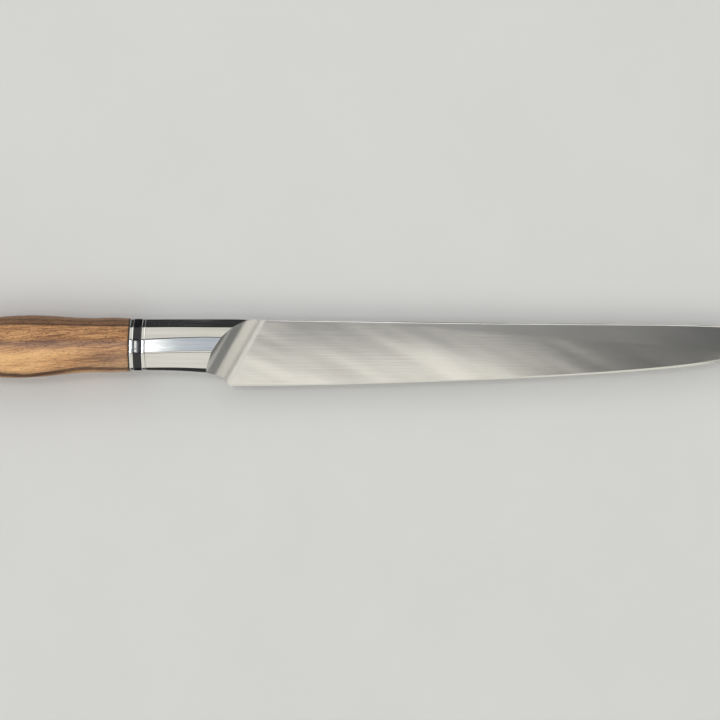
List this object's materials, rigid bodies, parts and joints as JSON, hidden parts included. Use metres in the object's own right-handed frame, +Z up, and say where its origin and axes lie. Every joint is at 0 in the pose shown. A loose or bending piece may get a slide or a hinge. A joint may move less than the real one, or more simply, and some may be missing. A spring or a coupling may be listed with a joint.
{
  "type": "boning knife",
  "caption": "Kitchen boning knife with a long narrow flat-ground blade, a polished faceted bolster, stacked rings and a contoured hidden-tang wooden handle.",
  "frame": {"origin": "under the middle of the knife's bounding box, on the surface it lies on, side down", "axes": "+X points at the tip, +Y at the spine, +Z up out of the side of the blade"},
  "size_m": [0.3306, 0.0249, 0.016],
  "materials": {
    "blade_steel": "fine satin, ground along the blade",
    "bolster_steel": "mirror polished with faint buffing lines",
    "ring_steel": "polished",
    "black_resin": "gloss black",
    "liner_fibre": "dark vulcanised fibre, flush sanded",
    "walnut": "oiled, lightly polished, grain along the handle",
    "rod_steel": "turned",
    "nut_steel": "faced and polished",
    "epoxy": "cured amber resin"
  },
  "bodies": {
    "root": {"blade": "blade_steel", "bolster": "bolster_steel", "front_collar": "ring_steel", "black_ring": "black_resin", "silver_ring": "ring_steel", "front_liner": "liner_fibre", "handle": "walnut", "tang_rod": "rod_steel", "tang_bond": "epoxy", "butt_liner": "liner_fibre", "butt_cap": "bolster_steel", "lock_washer": "rod_steel", "tang_nut": "nut_steel"}
  },
  "joints": []
}
